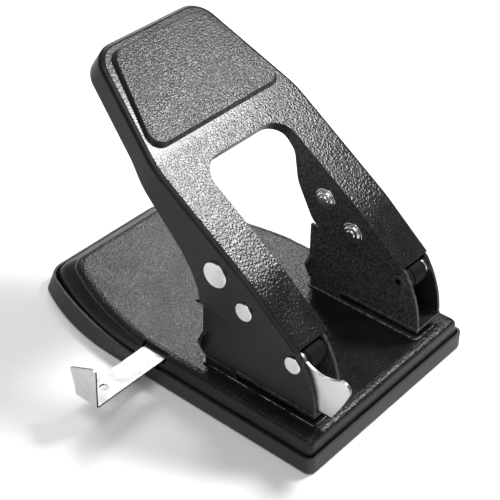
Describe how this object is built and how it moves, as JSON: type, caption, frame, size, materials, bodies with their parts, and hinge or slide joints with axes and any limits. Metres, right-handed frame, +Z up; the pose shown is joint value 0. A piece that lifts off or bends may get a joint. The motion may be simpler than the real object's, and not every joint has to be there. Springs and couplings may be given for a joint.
{
  "type": "hole punch",
  "caption": "Desk hole punch with a forked lever handle, punching heads in folded brackets, a sliding paper guide, a lock lever and a chip tray with a rear flap.",
  "frame": {"origin": "on the table, midway between the two punch axes", "axes": "+X to the right, +Y to the rear where the handle's free end stands, +Z up"},
  "size_m": [0.179, 0.1992, 0.1492],
  "materials": {
    "bracket_paint": "satin enamel",
    "guide_steel": "bright nickel plate",
    "handle_paint": "leather grain enamel on top, smooth satin enamel on the flanges",
    "lever_black": "blackened steel, oiled",
    "lever_steel": "matte zinc plate",
    "plate_paint": "leather grain enamel, semi-gloss",
    "rivet_nickel": "nickel plate",
    "spring_steel": "drawn wire",
    "tool_steel": "ground and oiled",
    "tray_plastic": "fine moulded grain",
    "zinc_steel": "zinc plated"
  },
  "bodies": {
    "base": {"base_plate": "plate_paint", "base_rivets": "rivet_nickel", "bracket_left": "bracket_paint", "bracket_right": "bracket_paint", "chip_tray": "tray_plastic", "die_plate_left": "bracket_paint", "die_plate_right": "bracket_paint", "guide_channel": "zinc_steel", "guide_spring": "spring_steel", "handle_pivot_pin_left": "rivet_nickel", "handle_pivot_pin_right": "rivet_nickel", "lever_pivot_pin_left": "rivet_nickel", "lever_pivot_pin_right": "rivet_nickel", "lever_washer_right": "rivet_nickel", "punch_bush_left": "tool_steel", "punch_bush_right": "tool_steel", "return_spring_left": "spring_steel", "return_spring_right": "spring_steel", "throat_spacer_left": "bracket_paint", "throat_spacer_right": "bracket_paint"},
    "handle": {"handle": "handle_paint", "drive_pin_left": "rivet_nickel", "drive_pin_right": "rivet_nickel"},
    "lever_left": {"pressure_lever_left": "lever_black"},
    "lever_right": {"pressure_lever_right": "lever_black"},
    "punch_left": {"punch_pin_left": "tool_steel", "punch_cap_left": "tool_steel"},
    "punch_right": {"punch_pin_right": "tool_steel", "punch_cap_right": "tool_steel"},
    "lock": {"lock_lever": "lever_steel"},
    "guide": {"paper_guide": "guide_steel"},
    "flap": {"chip_flap": "tray_plastic"}
  },
  "joints": [
    {"name": "handle_press", "type": "hinge", "parent": "base", "child": "handle", "pos_m": [0, 0.0054, 0.0636], "axis": [-1, 0, 0], "range_deg": [0, 45], "stiffness_Nm_per_rad": 0.9, "springref_deg": -28.65},
    {"name": "lever_left_turn", "type": "hinge", "parent": "base", "child": "lever_left", "pos_m": [-0.04, -0.022, 0.0471], "axis": [-1, 0, 0], "range_deg": [0, 17.97]},
    {"name": "lever_right_turn", "type": "hinge", "parent": "base", "child": "lever_right", "pos_m": [0.04, -0.022, 0.0471], "axis": [-1, 0, 0], "range_deg": [0, 17.97]},
    {"name": "punch_left_stroke", "type": "slide", "parent": "base", "child": "punch_left", "axis": [0, 0, -1], "range_m": [0, 0.0069], "deforming": ["return_spring_left"]},
    {"name": "punch_right_stroke", "type": "slide", "parent": "base", "child": "punch_right", "axis": [0, 0, -1], "range_m": [0, 0.0069], "deforming": ["return_spring_right"]},
    {"name": "lock_turn", "type": "hinge", "parent": "base", "child": "lock", "pos_m": [-0.04655, -0.022, 0.0471], "axis": [-1, 0, 0], "range_deg": [0, 40]},
    {"name": "guide_slide", "type": "slide", "parent": "base", "child": "guide", "axis": [-1, 0, 0], "range_m": [-0.04, 0.046]},
    {"name": "flap_open", "type": "hinge", "parent": "base", "child": "flap", "pos_m": [0, 0.0809, 0], "axis": [-1, 0, 0], "range_deg": [0, 60]}
  ],
  "couplings": [
    {"joint": "lever_left_turn", "follows": "handle_press", "ratio": 0.39711},
    {"joint": "lever_right_turn", "follows": "handle_press", "ratio": 0.39711},
    {"joint": "punch_left_stroke", "follows": "handle_press", "m_per_rad": 0.0087217},
    {"joint": "punch_right_stroke", "follows": "handle_press", "m_per_rad": 0.0087217}
  ]
}
